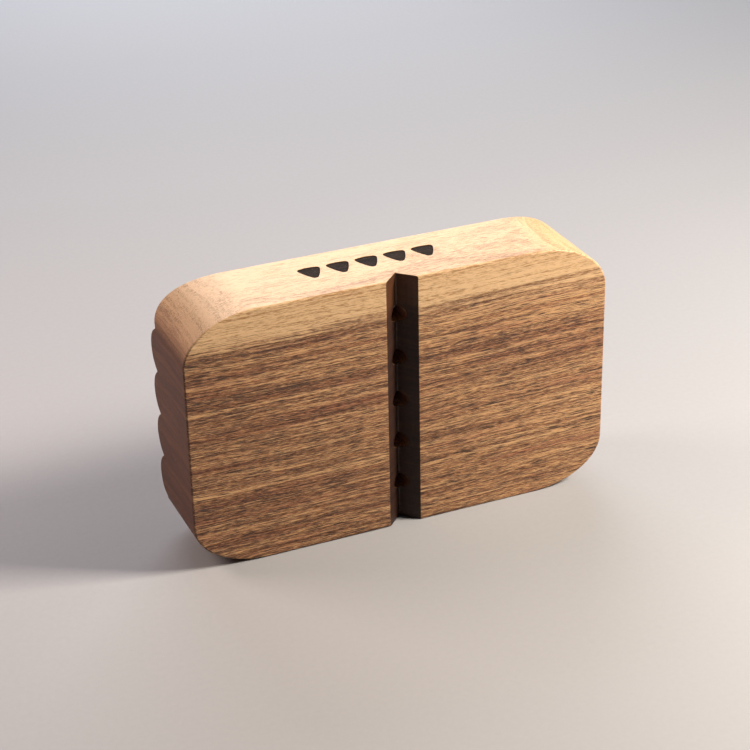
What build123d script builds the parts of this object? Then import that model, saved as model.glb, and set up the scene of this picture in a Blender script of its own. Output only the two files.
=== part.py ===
"""A plectrum holder: one walnut block with slots between the lobes of its back.

Millimetres, +Z up. The block stands on its long narrow side. X runs along its length, and Y from the flat
front, which has the V-groove, to the lobed back. The origin is the centre of the base.
"""

from build123d import *
import os

# The board
LENGTH = 110.0
HEIGHT = 67.0
DEPTH = 25.0
CORNER_LENGTH = 19.0
CORNER_HEIGHT = 12.5
FRONT_EDGE_RADIUS = 0.5
FRONT_Y = -DEPTH / 2
BACK_Y = DEPTH / 2

# The lobed back: full round lobes that meet in narrow flat valleys
LOBES = 6
LOBE_PITCH = 11.5
LOBE_RISE = 3.8
VALLEY_FILL = 0.2
LOBE_RADIUS = (LOBE_PITCH**2 / 4 + LOBE_RISE**2) / (2 * LOBE_RISE)
VALLEY_Y = BACK_Y - LOBE_RISE + VALLEY_FILL

# One slot in each valley: a saw cut whose floor is an arc, stopped short of both ends
SLOTS = LOBES - 1
SLOT_WIDTH = 2.0
SLOT_FLOOR_Y = FRONT_Y + 9.0
BLADE_RADIUS = 80.0
SLOT_HEIGHTS = [HEIGHT / 2 + (n - (SLOTS - 1) / 2) * LOBE_PITCH for n in range(SLOTS)]

# The right-angled V-groove down the front, and the holes from its root into the slots
GROOVE_WIDTH = 8.2
GROOVE_ROOT_WIDTH = 0.4
GROOVE_DEPTH = (GROOVE_WIDTH - GROOVE_ROOT_WIDTH) / 2
GROOVE_EDGE_RADIUS = 0.3
HOLE_DIAMETER = 4.0
HOLE_RUN_INTO_SLOT = 1.0
HOLE_DEPTH = SLOT_FLOOR_Y + HOLE_RUN_INTO_SLOT - FRONT_Y

# The burned mark: a row of plectrum shapes, each a shallow recess with a charred floor
MARK_COUNT = 5
MARK_CENTRE_X = -3.0
MARK_PITCH = 7.4
MARK_WIDTH = 6.0
MARK_HEIGHT = 6.8
MARK_BULGE = 0.5
MARK_CORNER_RADIUS = 0.9
RECESS_DEPTH = 0.4
CHAR_THICKNESS = 0.2

FRONT = Plane(origin=(0, FRONT_Y, HEIGHT / 2), x_dir=(1, 0, 0), z_dir=(0, -1, 0))
END = Plane(origin=(0, 0, HEIGHT / 2), x_dir=(0, 1, 0), z_dir=(1, 0, 0))
RECESS_FLOOR = Plane.XY.offset(HEIGHT - RECESS_DEPTH)


def plectrum_row():
    """The outlines of the mark: plectrums side by side, tips towards the front."""
    side = MARK_WIDTH / 2
    end = MARK_HEIGHT / 2
    shoulder = end - MARK_BULGE
    waist = side / 2 + MARK_BULGE
    with BuildSketch(mode=Mode.PRIVATE) as plectrum:
        with BuildLine():
            ThreePointArc((-side, shoulder), (0, end), (side, shoulder))
            ThreePointArc((side, shoulder), (waist, 0), (0, -end))
            ThreePointArc((0, -end), (-waist, 0), (-side, shoulder))
        make_face()
        fillet(plectrum.vertices(), MARK_CORNER_RADIUS)
    with BuildSketch(mode=Mode.PRIVATE) as row:
        with Locations((MARK_CENTRE_X, 0)):
            with GridLocations(MARK_PITCH, 0, MARK_COUNT, 1):
                add(plectrum.sketch)
    return row.sketch


with BuildPart() as walnut_block:
    # The board, with each corner rounded to a quarter of an ellipse
    with BuildSketch(FRONT):
        with BuildLine():
            Line((0, HEIGHT / 2), (LENGTH / 2 - CORNER_LENGTH, HEIGHT / 2))
            EllipticalCenterArc(
                (LENGTH / 2 - CORNER_LENGTH, HEIGHT / 2 - CORNER_HEIGHT),
                CORNER_LENGTH,
                CORNER_HEIGHT,
                start_angle=0,
                arc_size=90,
            )
            Line((LENGTH / 2, HEIGHT / 2 - CORNER_HEIGHT), (LENGTH / 2, 0))
            mirror(about=Plane.XZ)
            mirror(about=Plane.YZ)
        make_face()
    extrude(amount=-DEPTH)
    fillet(walnut_block.faces().sort_by(Axis.Y)[0].edges(), FRONT_EDGE_RADIUS)

    # The lobes run the whole length of the back
    with BuildSketch(END):
        with Locations(((FRONT_Y + VALLEY_Y) / 2, 0)):
            Rectangle(VALLEY_Y - FRONT_Y, HEIGHT)
        with Locations((BACK_Y - LOBE_RADIUS, 0)):
            with GridLocations(0, LOBE_PITCH, 1, LOBES):
                Circle(LOBE_RADIUS)
    extrude(amount=LENGTH, both=True, mode=Mode.INTERSECT)

    # The V-groove, its mouth just eased
    with BuildSketch(Plane.XY):
        with BuildLine():
            Polyline(
                (-GROOVE_WIDTH / 2, FRONT_Y),
                (-GROOVE_ROOT_WIDTH / 2, FRONT_Y + GROOVE_DEPTH),
                (GROOVE_ROOT_WIDTH / 2, FRONT_Y + GROOVE_DEPTH),
                (GROOVE_WIDTH / 2, FRONT_Y),
                close=True,
            )
        make_face()
    extrude(amount=HEIGHT, mode=Mode.SUBTRACT)
    front_face = walnut_block.faces().filter_by(Axis.Y).sort_by(Axis.Y)[:2]
    mouth = front_face.edges().filter_by(Axis.Z).group_by(lambda edge: abs(edge.center().X))[0]
    fillet(mouth, GROOVE_EDGE_RADIUS)

    # The slots
    for height in SLOT_HEIGHTS:
        with BuildSketch(Plane.XY.offset(height)):
            with Locations((0, SLOT_FLOOR_Y + BLADE_RADIUS)):
                Circle(BLADE_RADIUS)
        extrude(amount=SLOT_WIDTH / 2, both=True, mode=Mode.SUBTRACT)

    # The holes
    with BuildSketch(FRONT):
        with GridLocations(0, LOBE_PITCH, 1, SLOTS):
            Circle(HOLE_DIAMETER / 2)
    extrude(amount=-HOLE_DEPTH, mode=Mode.SUBTRACT)

    # The recess for the mark
    with BuildSketch(RECESS_FLOOR):
        add(plectrum_row())
    extrude(amount=RECESS_DEPTH, mode=Mode.SUBTRACT)

with BuildPart() as burned_mark:
    with BuildSketch(RECESS_FLOOR):
        add(plectrum_row())
    extrude(amount=CHAR_THICKNESS)

walnut_block.part.label = "walnut_block"
burned_mark.part.label = "burned_mark"
os.makedirs("parts", exist_ok=True)
export_step(walnut_block.part, "parts/walnut_block.step")
export_step(burned_mark.part, "parts/burned_mark.step")
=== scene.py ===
"""The looks of a walnut plectrum holder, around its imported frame.

The block is rebuilt here with every arris softened, because sanded walnut shows its edges as thin lines of
light. The frame's axes: X along the block, Y from the flat front to the lobed back, Z up. Everything is in
metres, and MM turns millimetres into them.
"""

import bmesh
import bpy
import math
from mathutils import Matrix, Vector


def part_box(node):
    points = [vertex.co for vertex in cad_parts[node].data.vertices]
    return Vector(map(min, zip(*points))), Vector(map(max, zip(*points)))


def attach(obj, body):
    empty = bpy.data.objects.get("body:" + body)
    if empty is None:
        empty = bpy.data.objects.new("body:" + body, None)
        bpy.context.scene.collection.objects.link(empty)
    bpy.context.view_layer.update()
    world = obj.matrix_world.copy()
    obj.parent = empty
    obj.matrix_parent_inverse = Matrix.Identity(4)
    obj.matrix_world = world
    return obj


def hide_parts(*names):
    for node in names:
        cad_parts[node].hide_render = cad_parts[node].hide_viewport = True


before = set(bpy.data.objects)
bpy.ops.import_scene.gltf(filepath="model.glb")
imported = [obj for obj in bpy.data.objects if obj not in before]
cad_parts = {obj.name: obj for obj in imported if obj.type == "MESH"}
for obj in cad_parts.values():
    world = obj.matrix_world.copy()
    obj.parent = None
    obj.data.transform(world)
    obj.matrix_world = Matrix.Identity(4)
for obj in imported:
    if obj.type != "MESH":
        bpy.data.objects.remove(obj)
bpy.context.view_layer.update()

MM = 0.001

# The block's box, from the frame
BLOCK_LOW, BLOCK_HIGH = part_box("walnut_block")
HALF_LENGTH = BLOCK_HIGH.x
HEIGHT = BLOCK_HIGH.z
FRONT_Y = BLOCK_LOW.y
BACK_Y = BLOCK_HIGH.y

# Its outline: each corner is a quarter of an ellipse
CORNER_LENGTH = 19 * MM
CORNER_HEIGHT = 12.5 * MM
CORNER_STEPS = 40
SIDE_STEPS = 130
FRONT_ARRIS = 0.5 * MM
BACK_ARRIS = 0.6 * MM
ARRIS_STEPS = 5

# The lobed back
LOBES = 6
LOBE_PITCH = 11.5 * MM
LOBE_RISE = 3.8 * MM
LOBE_RADIUS = (LOBE_PITCH**2 / 4 + LOBE_RISE**2) / (2 * LOBE_RISE)
VALLEY_FILL = 0.2 * MM
VALLEY_Y = BACK_Y - LOBE_RISE + VALLEY_FILL
VALLEY_SOFTNESS = 0.08 * MM

# The slots in the valleys, and the holes that lead into them from the V-groove
SLOTS = LOBES - 1
LOWEST_SLOT_Z = HEIGHT / 2 - (SLOTS - 1) / 2 * LOBE_PITCH
SLOT_WIDTH = 2 * MM
SLOT_FLOOR_Y = FRONT_Y + 9 * MM
BLADE_RADIUS = 80 * MM
SLOT_STEPS = 60
HOLE_RADIUS = 2 * MM
HOLE_STEPS = 48
HOLE_RUN_INTO_SLOT = 1 * MM
HOLE_END_Y = SLOT_FLOOR_Y + HOLE_RUN_INTO_SLOT
GROOVE_WIDTH = 8.2 * MM
GROOVE_ROOT_WIDTH = 0.4 * MM
GROOVE_DEPTH = (GROOVE_WIDTH - GROOVE_ROOT_WIDTH) / 2
CUT_ARRIS = 0.15 * MM
CUT_ARRIS_STEPS = 2
CUT_ARRIS_ANGLE = math.radians(43)
LARGEST_FACE_WEIGHT = 100
OVERSHOOT = 3 * MM
MERGE_DISTANCE = 0.001 * MM

# The wood's figure, in millimetres. A size is how long, deep and high one kind of mark is. The vessels have
# their real width. Fibres and grit are drawn several times wider than they are, so that they show.
WANDER_SIZE = (60, 35, 24)
GRAIN_WANDER = 2.4
LEVEL_GRAIN_X = -25.0
LEVEL_GRAIN_Y = 0.0
GRAIN_RISE = 0.00012
RING_BOW = 0.004
RING_WIDTH = 4.2
RING_UNEVENNESS = 3.0
LATE_WOOD_POWER = 7
STREAK_SIZE = (130, 30, 1.4)
BAND_SIZE = (140, 60, 6)
FIBRE_SIZE = (20, 0.3, 0.3)
GRIT_SIZE = (1.8, 0.18, 0.18)
TINT_SIZE = (40, 30, 2.5)
VESSEL_SIZE = (5, 0.14, 0.14)

# The part of its noise over which each kind of mark comes to show
CLEAR_RINGS = (0.35, 0.65)
PURPLE_TINTS = (0.45, 0.8)
CHAR_RIDGES = (0.35, 0.65)
ASH_FLECKS = (0.58, 0.72)

# How much each kind of mark lightens the wood, where a weight under nought darkens it, and the ranges of tone
# over which it turns from dark to mid brown, and from mid to light brown
HEARTWOOD_TONE = 0.25
HEARTWOOD_MARKS = {
    "streaks": 3.3,
    "bands": 0.7,
    "fibres": 1.5,
    "grit": 3.1,
    "late_line": -0.9,
    # along: painted light, which makes the heartwood a little lighter towards the right
    "along": 0.003,
}
DARK_TONES = (-0.1, 0.6)
LIGHT_TONES = (0.45, 1.2)
SAPWOOD_TONE = 0.5
SAPWOOD_MARKS = {
    "streaks": 3.0,
    "bands": 0.7,
    "fibres": 1.7,
    "grit": 3.2,
    "late_line": -0.7,
}

# The heights between which heartwood gives way to sapwood, and how far each kind of mark moves them
SAPWOOD_START = 56.1
SAPWOOD_FULL = 62.9
SAPWOOD_EDGE = {
    "streaks": 8.0,
    "fibres": 4.0,
    "grit": 3.5,
    "along": 0.03,
}

# The crowding of the vessels over which a pore comes to show, and how much of it some wood loses
PORE_EDGE = (0.64, 0.82)
PORES_LOST = 0.12
PORES_LOST_AT_ENDS = 0.08

# How steeply a turned surface becomes end grain, and how far the oil evens out the end grain's colour
END_GRAIN_POWER = 3
OIL_EVENNESS = 0.6

# The roughness of the oiled wood, and how much its fibres, pores and ends vary it
OILED_ROUGHNESS = 0.6
ROUGHNESS_CHANGE = 0.15

# The walls of the V-groove, darkened by scorch and by painted shade, the char of the mark and the paper of
# the floor, also in millimetres.
# The paper's fibre is drawn coarser than it is, so that it shows.
SCORCH_AND_SHADE_SIZE = (0.5, 0.5, 14)
SCORCH_AND_SHADE_EDGE = (0.02, 0.12)
CHAR_RIDGE_SIZE = (6, 0.25, 0.25)
ASH_SIZE = (0.5, 0.35, 0.35)
SHEET_SIZE = (300, 300, 300)
PAPER_FIBRE_SIZE = (1.5, 1.5, 1.5)

# How deep the bumps are
PORE_DEPTH = 0.06 * MM
CHAR_RELIEF = 0.08 * MM

# The sockets of a Mix node, by number because several of them share a name
FACTOR, COLOUR_A, COLOUR_B = 0, 6, 7
MIXED = 2
NUMBER_A, NUMBER_B = 2, 3
MIXED_NUMBER = 0

# The view
FLOOR_REACH = 4
NEAREST_SEEN = 0.01
SENSOR_MM = 36
LENS_MM = 97.1
VIEW_AZIMUTH = math.radians(-22.8)
VIEW_ELEVATION = math.radians(27.3)
VIEW_ROLL = math.radians(-1.3)
VIEW_AIM = Vector((-1.5, 1.7, 35.4)) * MM
VIEW_DISTANCE = 500.7 * MM


# ---------------------------------------------------------------- small helpers

def add_node(tree, kind, inputs=(), **settings):
    """Adds a node with its settings. Each input is (socket, value), where the value may be another output."""
    node = tree.nodes.new(kind)
    for name, value in settings.items():
        setattr(node, name, value)
    for socket, value in inputs:
        if isinstance(value, bpy.types.NodeSocket):
            tree.links.new(value, node.inputs[socket])
        else:
            node.inputs[socket].default_value = value
    return node


def linear(colour):
    """The linear RGBA of an sRGB hex colour."""
    channels = [int(colour[place:place + 2], 16) / 255 for place in (1, 3, 5)]
    return [c / 12.92 if c <= 0.04045 else ((c + 0.055) / 1.055) ** 2.4 for c in channels] + [1]


def linked(name, mesh):
    """An object at the origin that holds the mesh."""
    piece = bpy.data.objects.new(name, mesh)
    bpy.context.scene.collection.objects.link(piece)
    return piece


def loft(work, rings):
    """Joins closed rings of points by bands of faces, and returns the rings' vertices."""
    loops = [[work.verts.new(point) for point in ring] for ring in rings]
    count = len(loops[0])
    for near, far in zip(loops, loops[1:]):
        for n in range(count):
            work.faces.new((near[n], near[(n + 1) % count], far[(n + 1) % count], far[n]))
    return loops


def closed(work, name):
    """The object of a closed bmesh, with its faces turned outwards."""
    bmesh.ops.recalc_face_normals(work, faces=work.faces)
    mesh = bpy.data.meshes.new(name)
    work.to_mesh(mesh)
    work.free()
    return linked(name, mesh)


def solid(name, rings):
    """A closed solid through rings of points, with a flat face across the first ring and the last."""
    work = bmesh.new()
    loops = loft(work, rings)
    work.faces.new(loops[0])
    work.faces.new(loops[-1])
    return closed(work, name)


def applied(piece):
    """Turns a piece's modifiers into plain mesh."""
    evaluated = piece.evaluated_get(bpy.context.evaluated_depsgraph_get())
    mesh = bpy.data.meshes.new_from_object(evaluated)
    piece.modifiers.clear()
    piece.data = mesh


# ---------------------------------------------------------------- the block

def lobe_depth(z):
    """The back's Y at height z: round lobes that meet in softened valleys."""
    from_centre = abs((z - HEIGHT / 2) / LOBE_PITCH % 1 - 0.5) * LOBE_PITCH
    lobe = BACK_Y - LOBE_RADIUS + math.sqrt(LOBE_RADIUS**2 - from_centre**2)
    middle = (lobe + VALLEY_Y) / 2
    return min(BACK_Y, middle + math.hypot((lobe - VALLEY_Y) / 2, VALLEY_SOFTNESS))


def right_side():
    """The outline's right half from base to top, as (x, z, outward x, outward z)."""
    side = []
    for sign, start, end in ((-1, -90, 0), (1, 0, 90)):
        centre_x = HALF_LENGTH - CORNER_LENGTH
        centre_z = HEIGHT / 2 + sign * (HEIGHT / 2 - CORNER_HEIGHT)
        for step in range(CORNER_STEPS + 1):
            angle = math.radians(start + (end - start) * step / CORNER_STEPS)
            outward = Vector((math.cos(angle) / CORNER_LENGTH, math.sin(angle) / CORNER_HEIGHT)).normalized()
            x = centre_x + CORNER_LENGTH * math.cos(angle)
            z = centre_z + CORNER_HEIGHT * math.sin(angle)
            side.append((x, z, outward.x, outward.y))
        if sign < 0:
            low, high = CORNER_HEIGHT, HEIGHT - CORNER_HEIGHT
            for step in range(1, SIDE_STEPS):
                side.append((HALF_LENGTH, low + (high - low) * step / SIDE_STEPS, 1, 0))
    return side


def arris(radius):
    """(inset, drop) of each line round a quarter-round arris, from the face's side to the wall's."""
    turns = [math.pi / 2 * step / ARRIS_STEPS for step in range(ARRIS_STEPS + 1)]
    return [(radius * (1 - math.sin(turn)), radius * (1 - math.cos(turn))) for turn in turns]


def board():
    """The board with its rounded corners, lobed back and soft arrises, before it is cut."""
    side = right_side()

    def ring(inset, depth):
        half = [(x - inset * out_x, z - inset * out_z) for x, z, out_x, out_z in side]
        outline = half + [(-x, z) for x, z in reversed(half)]
        return [(x, depth(z), z) for x, z in outline]

    rings = [ring(inset, lambda z: FRONT_Y + drop) for inset, drop in arris(FRONT_ARRIS)]
    rings += [ring(inset, lambda z: lobe_depth(z) - drop) for inset, drop in reversed(arris(BACK_ARRIS))]

    work = bmesh.new()
    loops = loft(work, rings)
    # The front and the back are strips that cross the block at one height each
    for loop in (loops[0], loops[-1]):
        for n in range(len(side) - 1):
            work.faces.new((loop[n], loop[n + 1], loop[-n - 2], loop[-n - 1]))
    return closed(work, "walnut_body")


def groove_cutter():
    """The V-groove's own shape, through the whole height."""
    slope = (GROOVE_WIDTH / 2 - GROOVE_ROOT_WIDTH / 2) / GROOVE_DEPTH
    mouth = GROOVE_WIDTH / 2 + slope * OVERSHOOT
    profile = (
        (-mouth, FRONT_Y - OVERSHOOT),
        (mouth, FRONT_Y - OVERSHOOT),
        (GROOVE_ROOT_WIDTH / 2, FRONT_Y + GROOVE_DEPTH),
        (-GROOVE_ROOT_WIDTH / 2, FRONT_Y + GROOVE_DEPTH),
    )
    heights = (-OVERSHOOT, HEIGHT + OVERSHOOT)
    return solid("groove_cutter", [[(x, y, z) for x, y in profile] for z in heights])


def slot_cutter():
    """One saw cut at height 0: the part of the blade's disc in front of a line just past the back."""
    axle_y = SLOT_FLOOR_Y + BLADE_RADIUS
    widest = math.acos((axle_y - BACK_Y - OVERSHOOT) / BLADE_RADIUS)
    turns = [widest * (2 * step / SLOT_STEPS - 1) for step in range(SLOT_STEPS + 1)]
    profile = [(BLADE_RADIUS * math.sin(turn), axle_y - BLADE_RADIUS * math.cos(turn)) for turn in turns]
    faces = (-SLOT_WIDTH / 2, SLOT_WIDTH / 2)
    return solid("slot_cutter", [[(x, y, z) for x, y in profile] for z in faces])


def hole_cutter():
    """One drilled hole at height 0, from in front of the block to just past the slot's floor."""
    turns = [2 * math.pi * step / HOLE_STEPS for step in range(HOLE_STEPS)]
    circle = [(HOLE_RADIUS * math.cos(turn), HOLE_RADIUS * math.sin(turn)) for turn in turns]
    ends = (FRONT_Y - OVERSHOOT, HOLE_END_Y)
    return solid("hole_cutter", [[(x, y, z) for x, z in circle] for y in ends])


def row_of_cuts():
    """A node tree that cuts one shape out of a piece again and again, a step apart."""
    tree = bpy.data.node_groups.new("row_of_cuts", "GeometryNodeTree")
    sockets = (
        ("Geometry", "NodeSocketGeometry"),
        ("Cutter", "NodeSocketObject"),
        ("Count", "NodeSocketInt"),
        ("First", "NodeSocketVector"),
        ("Step", "NodeSocketVector"),
        ("Material", "NodeSocketMaterial"),
    )
    for name, kind in sockets:
        tree.interface.new_socket(name, in_out="INPUT", socket_type=kind)
    tree.interface.new_socket("Geometry", in_out="OUTPUT", socket_type="NodeSocketGeometry")
    given = add_node(tree, "NodeGroupInput").outputs
    cutter = add_node(tree, "GeometryNodeObjectInfo", [("Object", given["Cutter"])])
    places = add_node(
        tree,
        "GeometryNodeMeshLine",
        [("Count", given["Count"]), ("Start Location", given["First"]), ("Offset", given["Step"])],
    )
    row = add_node(
        tree,
        "GeometryNodeInstanceOnPoints",
        [("Points", places.outputs["Mesh"]), ("Instance", cutter.outputs["Geometry"])],
    )
    cutters = add_node(tree, "GeometryNodeRealizeInstances", [("Geometry", row.outputs["Instances"])])
    cut = add_node(
        tree,
        "GeometryNodeMeshBoolean",
        [("Mesh 1", given["Geometry"]), ("Mesh 2", cutters.outputs["Geometry"])],
        operation="DIFFERENCE",
        solver="EXACT",
    )
    plain = add_node(tree, "GeometryNodeRealizeInstances", [("Geometry", cut.outputs["Mesh"])])
    finish = add_node(
        tree,
        "GeometryNodeSetMaterial",
        [("Geometry", plain.outputs["Geometry"]), ("Material", given["Material"])],
    )
    add_node(tree, "NodeGroupOutput", [("Geometry", finish.outputs["Geometry"])])
    return tree


def cut_row(piece, tree, material, cutter):
    """Cuts the shape out of the piece at each slot's height."""
    values = {
        "Cutter": cutter,
        "Count": SLOTS,
        "First": (0, 0, LOWEST_SLOT_Z),
        "Step": (0, 0, LOBE_PITCH),
        "Material": material,
    }
    modifier = piece.modifiers.new("row_of_cuts", "NODES")
    modifier.node_group = tree
    for socket in tree.interface.items_tree:
        if socket.in_out == "INPUT" and socket.name in values:
            modifier[socket.identifier] = values[socket.name]
    applied(piece)
    bpy.data.objects.remove(cutter)


def cut_once(piece, cutter):
    """Cuts the shape out of the piece, whose cut faces take the cutter's material."""
    modifier = piece.modifiers.new("cut", "BOOLEAN")
    modifier.object = cutter
    modifier.operation = "DIFFERENCE"
    modifier.solver = "EXACT"
    modifier.material_mode = "TRANSFER"
    applied(piece)
    bpy.data.objects.remove(cutter)


def mark_cutter(material):
    """The burned mark's own outlines, stretched up through the top face."""
    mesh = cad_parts["burned_mark"].data.copy()
    low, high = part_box("burned_mark")
    work = bmesh.new()
    work.from_mesh(mesh)
    bmesh.ops.remove_doubles(work, verts=work.verts, dist=MERGE_DISTANCE)
    for vertex in work.verts:
        if vertex.co.z > (low.z + high.z) / 2:
            vertex.co.z = HEIGHT + OVERSHOOT
    work.to_mesh(mesh)
    work.free()
    mesh.materials.clear()
    mesh.materials.append(material)
    return linked("mark_cutter", mesh)


def soften_cuts(piece):
    """Softens the arrises that the cuts left, and shades each flat as a flat."""
    bevel = piece.modifiers.new("cut_arris", "BEVEL")
    bevel.width = CUT_ARRIS
    bevel.segments = CUT_ARRIS_STEPS
    bevel.limit_method = "ANGLE"
    bevel.angle_limit = CUT_ARRIS_ANGLE
    bevel.use_clamp_overlap = False
    applied(piece)
    piece.data.shade_smooth()
    normals = piece.modifiers.new("flats", "WEIGHTED_NORMAL")
    normals.weight = LARGEST_FACE_WEIGHT
    applied(piece)


def walnut_body(walnut, charred):
    """Makes the finished block and puts it in the CAD block's place."""
    piece = board()
    piece.data.materials.append(walnut)
    cut_once(piece, groove_cutter())
    tree = row_of_cuts()
    cut_row(piece, tree, walnut, slot_cutter())
    cut_row(piece, tree, walnut, hole_cutter())
    cut_once(piece, mark_cutter(charred))
    soften_cuts(piece)
    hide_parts("walnut_block")
    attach(piece, "root")


# ---------------------------------------------------------------- materials

def blank_material(name):
    """A material with only its shader and output."""
    material = bpy.data.materials.new(name)
    material.use_nodes = True
    tree = material.node_tree
    tree.nodes.clear()
    shader = add_node(tree, "ShaderNodeBsdfPrincipled")
    add_node(tree, "ShaderNodeOutputMaterial", [("Surface", shader.outputs["BSDF"])])
    return material, tree, shader


def place_in_millimetres(tree):
    """Where the shaded point is on its piece."""
    place = add_node(tree, "ShaderNodeTexCoord").outputs["Object"]
    return add_node(
        tree, "ShaderNodeVectorMath", [(0, place), ("Scale", 1 / MM)], operation="SCALE"
    ).outputs["Vector"]


def pattern(tree, place, mark_size, detail=2.0, roughness=0.55):
    """Smooth noise from 0 to 1, as a number and as a colour, whose marks are this long, deep and high."""
    stretched = add_node(
        tree,
        "ShaderNodeVectorMath",
        [(0, place), (1, [1 / size for size in mark_size])],
        operation="MULTIPLY",
    ).outputs["Vector"]
    return add_node(
        tree,
        "ShaderNodeTexNoise",
        [("Vector", stretched), ("Scale", 1), ("Detail", detail), ("Roughness", roughness)],
    ).outputs


def weighted_sum(tree, start, terms):
    """start plus each (output, weight), where every output varies about a half."""
    total = start
    for output, weight in terms:
        offset = add_node(tree, "ShaderNodeMath", [(0, output), (1, 0.5)], operation="SUBTRACT")
        total = add_node(
            tree,
            "ShaderNodeMath",
            [(0, offset.outputs[0]), (1, weight), (2, total)],
            operation="MULTIPLY_ADD",
        ).outputs[0]
    return total


def grain(tree, place):
    """(place, height) in the grown wood, whose rings wander, bow front to back and rise to the right.

    In this place every ring is level, and the height counts across the rings.
    """
    wander = pattern(tree, place, WANDER_SIZE)["Color"]
    drifted = add_node(
        tree,
        "ShaderNodeVectorMath",
        [(0, wander), (1, (0, GRAIN_WANDER, GRAIN_WANDER)), (2, place)],
        operation="MULTIPLY_ADD",
    ).outputs["Vector"]
    parts = add_node(tree, "ShaderNodeSeparateXYZ", [("Vector", drifted)]).outputs
    height = parts["Z"]
    curves = ((parts["Y"], LEVEL_GRAIN_Y, RING_BOW), (parts["X"], LEVEL_GRAIN_X, -GRAIN_RISE))
    for across, level, curve in curves:
        away = add_node(tree, "ShaderNodeMath", [(0, across), (1, level)], operation="SUBTRACT").outputs[0]
        squared = add_node(tree, "ShaderNodeMath", [(0, away), (1, away)], operation="MULTIPLY").outputs[0]
        height = add_node(
            tree, "ShaderNodeMath", [(0, squared), (1, curve), (2, height)], operation="MULTIPLY_ADD"
        ).outputs[0]
    level_place = add_node(
        tree, "ShaderNodeCombineXYZ", [("X", parts["X"]), ("Y", parts["Y"]), ("Z", height)]
    ).outputs["Vector"]
    return level_place, height


def late_wood(tree, height, bands, streaks):
    """(ring end, line): each year's growth ends in a thin dark line, which is clear only in some places."""
    uneven_height = weighted_sum(tree, height, [(bands, RING_UNEVENNESS)])
    years = add_node(
        tree, "ShaderNodeMath", [(0, uneven_height), (1, RING_WIDTH)], operation="DIVIDE"
    ).outputs[0]
    year = add_node(tree, "ShaderNodeMath", [(0, years)], operation="FRACT").outputs[0]
    ring_end = add_node(
        tree, "ShaderNodeMath", [(0, year), (1, LATE_WOOD_POWER)], operation="POWER"
    ).outputs[0]
    clear = add_node(
        tree,
        "ShaderNodeMapRange",
        [("Value", streaks), ("From Min", CLEAR_RINGS[0]), ("From Max", CLEAR_RINGS[1])],
        interpolation_type="SMOOTHSTEP",
    ).outputs["Result"]
    line = add_node(tree, "ShaderNodeMath", [(0, ring_end), (1, clear)], operation="MULTIPLY").outputs[0]
    return ring_end, line


def groove_scorch_and_painted_shade(tree, place, wood):
    """The wood, with the walls of the V-groove darkened in streaks down the groove: partly scorch from the
    cutter, partly painted shade of the deep groove.
    """
    streak = pattern(tree, place, SCORCH_AND_SHADE_SIZE)["Fac"]
    # Scorch and painted shade: these colours multiply the groove's walls darker, as the shade deep in the
    # groove would
    scorch_and_shade = add_node(
        tree,
        "ShaderNodeMix",
        [(FACTOR, streak), (COLOUR_A, linear("#4a3224")), (COLOUR_B, linear("#6a523a"))],
        data_type="RGBA",
    ).outputs[MIXED]
    scorched_and_shaded = add_node(
        tree,
        "ShaderNodeMix",
        [(FACTOR, 1), (COLOUR_A, wood), (COLOUR_B, scorch_and_shade)],
        data_type="RGBA",
        blend_type="MULTIPLY",
    ).outputs[MIXED]
    # The walls slope at 45 degrees, so aside + inwards is the same all over them
    parts = add_node(tree, "ShaderNodeSeparateXYZ", [("Vector", place)]).outputs
    aside = add_node(tree, "ShaderNodeMath", [(0, parts["X"])], operation="ABSOLUTE").outputs[0]
    reach = add_node(tree, "ShaderNodeMath", [(0, aside), (1, parts["Y"])], operation="ADD").outputs[0]
    wall = (GROOVE_WIDTH / 2 + FRONT_Y) / MM
    outside = add_node(
        tree,
        "ShaderNodeMapRange",
        [("Value", reach), ("From Min", wall + SCORCH_AND_SHADE_EDGE[0]), ("From Max", wall + SCORCH_AND_SHADE_EDGE[1])],
        interpolation_type="SMOOTHSTEP",
    ).outputs["Result"]
    return add_node(
        tree,
        "ShaderNodeMix",
        [(FACTOR, outside), (COLOUR_A, scorched_and_shaded), (COLOUR_B, wood)],
        data_type="RGBA",
    ).outputs[MIXED]


def shade(tree, value, low, high, dark, light):
    """The dark colour where the value is under low, the light one where it is over high."""
    part = add_node(
        tree,
        "ShaderNodeMapRange",
        [("Value", value), ("From Min", low), ("From Max", high)],
        interpolation_type="SMOOTHSTEP",
    ).outputs["Result"]
    return add_node(
        tree,
        "ShaderNodeMix",
        [(FACTOR, part), (COLOUR_A, dark), (COLOUR_B, light)],
        data_type="RGBA",
    ).outputs[MIXED]


def wood_marks(tree, place):
    """The wood's marks by name, with its height across the rings and its place along the board."""
    level_place, height = grain(tree, place)
    marks = {
        "height": height,
        "along": add_node(tree, "ShaderNodeSeparateXYZ", [("Vector", place)]).outputs["X"],
        "streaks": pattern(tree, level_place, STREAK_SIZE, detail=4, roughness=0.85)["Fac"],
        "bands": pattern(tree, level_place, BAND_SIZE, detail=1)["Fac"],
        "fibres": pattern(tree, level_place, FIBRE_SIZE)["Fac"],
        "grit": pattern(tree, level_place, GRIT_SIZE, roughness=0.7)["Fac"],
        "tint": pattern(tree, level_place, TINT_SIZE)["Fac"],
        "vessels": pattern(tree, level_place, VESSEL_SIZE, detail=1)["Fac"],
    }
    marks["ring_end"], marks["late_line"] = late_wood(tree, height, marks["bands"], marks["streaks"])
    return marks


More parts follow.
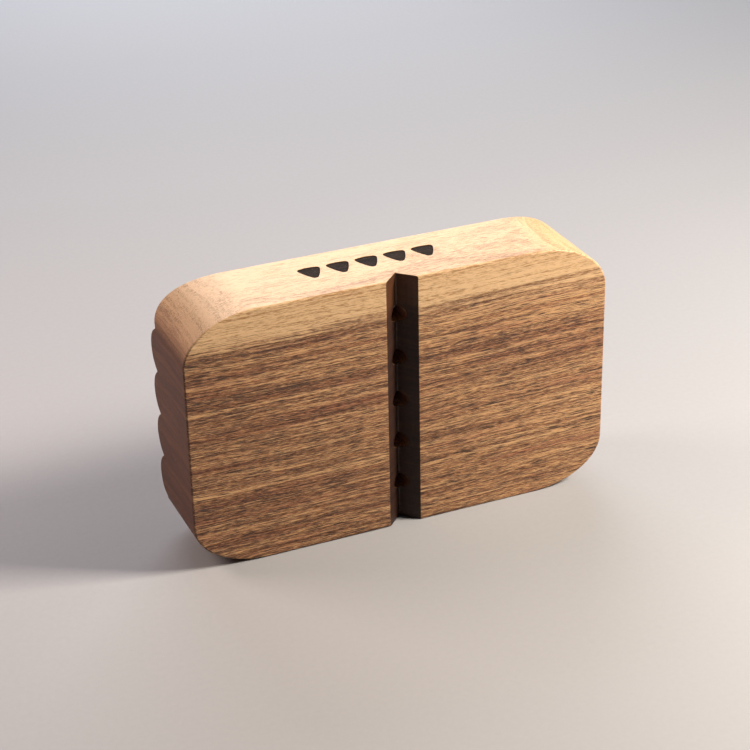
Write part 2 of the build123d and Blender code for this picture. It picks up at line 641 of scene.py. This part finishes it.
def heartwood(tree, marks):
    """Heartwood from dark lines to light wood, with purple tints, and painted light that makes it a little
    lighter to the right.
    """
    tone = weighted_sum(tree, HEARTWOOD_TONE, [(marks[name], by) for name, by in HEARTWOOD_MARKS.items()])
    darker_half = shade(tree, tone, *DARK_TONES, linear("#472b1f"), linear("#996b48"))
    brown = shade(tree, tone, *LIGHT_TONES, darker_half, linear("#d6a876"))
    purple = add_node(
        tree,
        "ShaderNodeMapRange",
        [("Value", marks["tint"]), ("From Min", PURPLE_TINTS[0]), ("From Max", PURPLE_TINTS[1])],
        interpolation_type="SMOOTHSTEP",
    ).outputs["Result"]
    return add_node(
        tree,
        "ShaderNodeMix",
        [(FACTOR, purple), (COLOUR_A, brown), (COLOUR_B, linear("#dcc3c6"))],
        data_type="RGBA",
        blend_type="MULTIPLY",
    ).outputs[MIXED]


def sapwood(tree, marks):
    """Honey-coloured sapwood."""
    tone = weighted_sum(tree, SAPWOOD_TONE, [(marks[name], by) for name, by in SAPWOOD_MARKS.items()])
    return shade(tree, tone, 0, 1, linear("#a4784b"), linear("#e2bd8f"))


def end_grain_share(tree):
    """How far the surface is end grain, which faces along the board."""
    normal = add_node(tree, "ShaderNodeTexCoord").outputs["Normal"]
    facing = add_node(tree, "ShaderNodeSeparateXYZ", [("Vector", normal)]).outputs["X"]
    outwards = add_node(tree, "ShaderNodeMath", [(0, facing)], operation="ABSOLUTE").outputs[0]
    return add_node(
        tree, "ShaderNodeMath", [(0, outwards), (1, END_GRAIN_POWER)], operation="POWER"
    ).outputs[0]


def sapwood_share(tree, marks, end_grain):
    """How far the wood is sapwood.

    Its edge is ragged along the streaks, but even on end grain, and falls a little to the right.
    """
    height = marks["height"]
    ragged = weighted_sum(tree, height, [(marks[name], by) for name, by in SAPWOOD_EDGE.items()])
    edge_height = add_node(
        tree,
        "ShaderNodeMix",
        [(FACTOR, end_grain), (NUMBER_A, ragged), (NUMBER_B, height)],
        data_type="FLOAT",
    ).outputs[MIXED_NUMBER]
    return add_node(
        tree,
        "ShaderNodeMapRange",
        [("Value", edge_height), ("From Min", SAPWOOD_START), ("From Max", SAPWOOD_FULL)],
        interpolation_type="SMOOTHSTEP",
    ).outputs["Result"]


def with_pores(tree, marks, wood, in_sapwood, end_grain):
    """(wood, pores): thin dark dashes on the wood, fewer in sapwood, at the ends and where a ring ends."""
    fewer = [
        (marks["ring_end"], -PORES_LOST),
        (in_sapwood, -PORES_LOST),
        (end_grain, -PORES_LOST_AT_ENDS),
    ]
    pores = add_node(
        tree,
        "ShaderNodeMapRange",
        [
            ("Value", weighted_sum(tree, marks["vessels"], fewer)),
            ("From Min", PORE_EDGE[0]),
            ("From Max", PORE_EDGE[1]),
        ],
        interpolation_type="SMOOTHSTEP",
    ).outputs["Result"]
    pore_colour = add_node(
        tree,
        "ShaderNodeMix",
        [(FACTOR, in_sapwood), (COLOUR_A, linear("#3a271e")), (COLOUR_B, linear("#a5835a"))],
        data_type="RGBA",
    ).outputs[MIXED]
    porous = add_node(
        tree,
        "ShaderNodeMix",
        [(FACTOR, pores), (COLOUR_A, wood), (COLOUR_B, pore_colour)],
        data_type="RGBA",
    ).outputs[MIXED]
    return porous, pores


def with_oiled_ends(tree, wood, in_sapwood, end_grain):
    """The wood, darkened and evened out on the end grain, which drinks the oil."""
    oil_stain = add_node(
        tree,
        "ShaderNodeMix",
        [(FACTOR, in_sapwood), (COLOUR_A, linear("#b89a8e")), (COLOUR_B, linear("#f6e2d6"))],
        data_type="RGBA",
    ).outputs[MIXED]
    stained = add_node(
        tree,
        "ShaderNodeMix",
        [(FACTOR, end_grain), (COLOUR_A, wood), (COLOUR_B, oil_stain)],
        data_type="RGBA",
        blend_type="MULTIPLY",
    ).outputs[MIXED]
    soaked = add_node(
        tree,
        "ShaderNodeMix",
        [(FACTOR, in_sapwood), (COLOUR_A, linear("#684739")), (COLOUR_B, linear("#dcb394"))],
        data_type="RGBA",
    ).outputs[MIXED]
    evenness = add_node(tree, "ShaderNodeMath", [(0, end_grain), (1, OIL_EVENNESS)], operation="MULTIPLY")
    return add_node(
        tree,
        "ShaderNodeMix",
        [(FACTOR, evenness.outputs[0]), (COLOUR_A, stained), (COLOUR_B, soaked)],
        data_type="RGBA",
    ).outputs[MIXED]


def oiled_walnut():
    """Black walnut, sanded and oiled, with a strip of sapwood along the top.

    The eye sees brown lines that run the length of the board, lighter and darker by the year's growth, with
    short dark pores along them. The sapwood is honey coloured. The ends are darker and more even, because end
    grain drinks the oil, and their pores are dots. The walls of the V-groove are darkened, partly as scorch
    and partly as painted shade. The heartwood is a little lighter to the right, which is painted light.
    """
    material, tree, shader = blank_material("oiled_walnut")
    place = place_in_millimetres(tree)
    marks = wood_marks(tree, place)
    end_grain = end_grain_share(tree)
    in_sapwood = sapwood_share(tree, marks, end_grain)
    wood = add_node(
        tree,
        "ShaderNodeMix",
        [(FACTOR, in_sapwood), (COLOUR_A, heartwood(tree, marks)), (COLOUR_B, sapwood(tree, marks))],
        data_type="RGBA",
    ).outputs[MIXED]
    wood, pores = with_pores(tree, marks, wood, in_sapwood, end_grain)
    wood = with_oiled_ends(tree, wood, in_sapwood, end_grain)
    tree.links.new(groove_scorch_and_painted_shade(tree, place, wood), shader.inputs["Base Color"])

    # Open pores and raised fibres under a thin film of oil
    rougher = [(part, ROUGHNESS_CHANGE) for part in (marks["fibres"], pores, end_grain)]
    tree.links.new(weighted_sum(tree, OILED_ROUGHNESS, rougher), shader.inputs["Roughness"])
    shader.inputs["Specular IOR Level"].default_value = 0.4
    surface = weighted_sum(tree, 0.5, [(marks["fibres"], 0.5), (pores, -1.0)])
    relief = add_node(
        tree, "ShaderNodeBump", [("Height", surface), ("Distance", PORE_DEPTH), ("Strength", 1)]
    )
    tree.links.new(relief.outputs["Normal"], shader.inputs["Normal"])
    return material


def charred_walnut():
    """Walnut burned black by a laser.

    The eye sees a matt brown-black floor where the grain still shows as fine ridges, with small grey flecks
    of ash.
    """
    material, tree, shader = blank_material("charred_walnut")
    place = place_in_millimetres(tree)
    ridges = pattern(tree, place, CHAR_RIDGE_SIZE)["Fac"]
    crust = pattern(tree, place, ASH_SIZE, detail=3)["Fac"]
    burned = shade(tree, ridges, *CHAR_RIDGES, linear("#120d0b"), linear("#31231c"))
    ashy = shade(tree, crust, *ASH_FLECKS, burned, linear("#4d4540"))
    tree.links.new(ashy, shader.inputs["Base Color"])
    shader.inputs["Roughness"].default_value = 0.9
    shader.inputs["Specular IOR Level"].default_value = 0.2
    surface = weighted_sum(tree, 0.5, [(ridges, 1.0), (crust, 0.6)])
    relief = add_node(
        tree, "ShaderNodeBump", [("Height", surface), ("Distance", CHAR_RELIEF), ("Strength", 1)]
    )
    tree.links.new(relief.outputs["Normal"], shader.inputs["Normal"])
    return material


def studio_paper():
    """Pale grey background paper: even and matt, with the faintest fibre."""
    material, tree, shader = blank_material("studio_paper")
    place = place_in_millimetres(tree)
    sheet = pattern(tree, place, SHEET_SIZE, detail=1)["Fac"]
    fibre = pattern(tree, place, PAPER_FIBRE_SIZE)["Fac"]
    tone = weighted_sum(tree, 0.5, [(sheet, 0.8), (fibre, 0.5)])
    tree.links.new(shade(tree, tone, 0, 1, linear("#a5a6aa"), linear("#aeafb2")), shader.inputs["Base Color"])
    shader.inputs["Roughness"].default_value = 0.8
    return material


# ---------------------------------------------------------------- studio

def floor():
    """A wide sheet of paper under the block."""
    corners = [(x * FLOOR_REACH, y * FLOOR_REACH, 0) for x, y in ((-1, -1), (1, -1), (1, 1), (-1, 1))]
    mesh = bpy.data.meshes.new("floor")
    mesh.from_pydata(corners, [], [(0, 1, 2, 3)])
    mesh.materials.append(studio_paper())
    linked("floor", mesh)


def camera():
    """The camera, as far back as the view's perspective asks, and rolled a little."""
    data = bpy.data.cameras.new("camera")
    data.lens = LENS_MM
    data.sensor_width = SENSOR_MM
    data.clip_start = NEAREST_SEEN
    level = math.cos(VIEW_ELEVATION)
    back = Vector((
        math.sin(VIEW_AZIMUTH) * level,
        -math.cos(VIEW_AZIMUTH) * level,
        math.sin(VIEW_ELEVATION),
    ))
    turn = (-back).to_track_quat("-Z", "Y").to_matrix() @ Matrix.Rotation(VIEW_ROLL, 3, "Z")
    item = bpy.data.objects.new("camera", data)
    item.matrix_world = Matrix.Translation(VIEW_AIM + back * VIEW_DISTANCE) @ turn.to_4x4()
    bpy.context.scene.collection.objects.link(item)
    bpy.context.scene.camera = item


def softbox(name, place, size, watts, colour):
    """A square area light at the place, turned to the block's middle."""
    data = bpy.data.lights.new(name, "AREA")
    data.size = size
    data.energy = watts
    data.color = linear(colour)[:3]
    item = bpy.data.objects.new(name, data)
    item.location = place
    item.rotation_euler = (Vector((0, 0, HEIGHT / 2)) - item.location).to_track_quat("-Z", "Y").to_euler()
    bpy.context.scene.collection.objects.link(item)


def studio():
    """A warm key from the right, a cool light from behind for the top's sheen, and a weak one at the left."""
    world = bpy.data.worlds.new("studio")
    world.use_nodes = True
    background = world.node_tree.nodes["Background"]
    background.inputs["Color"].default_value = linear("#e8ecf2")
    background.inputs["Strength"].default_value = 0.035
    bpy.context.scene.world = world
    softbox("key", place=(0.33, -0.17, 0.31), size=0.13, watts=4.1, colour="#fff2e2")
    softbox("back", place=(0.15, 0.6, 0.34), size=0.5, watts=3.5, colour="#f2f5fd")
    softbox("left_end", place=(-0.24, 0.14, 0.25), size=0.15, watts=0.62, colour="#ffe6da")
    bpy.context.scene.view_settings.view_transform = "Standard"


# ---------------------------------------------------------------- assembly

charred = charred_walnut()
walnut_body(oiled_walnut(), charred)
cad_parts["burned_mark"].data.materials[0] = charred
floor()
camera()
studio()
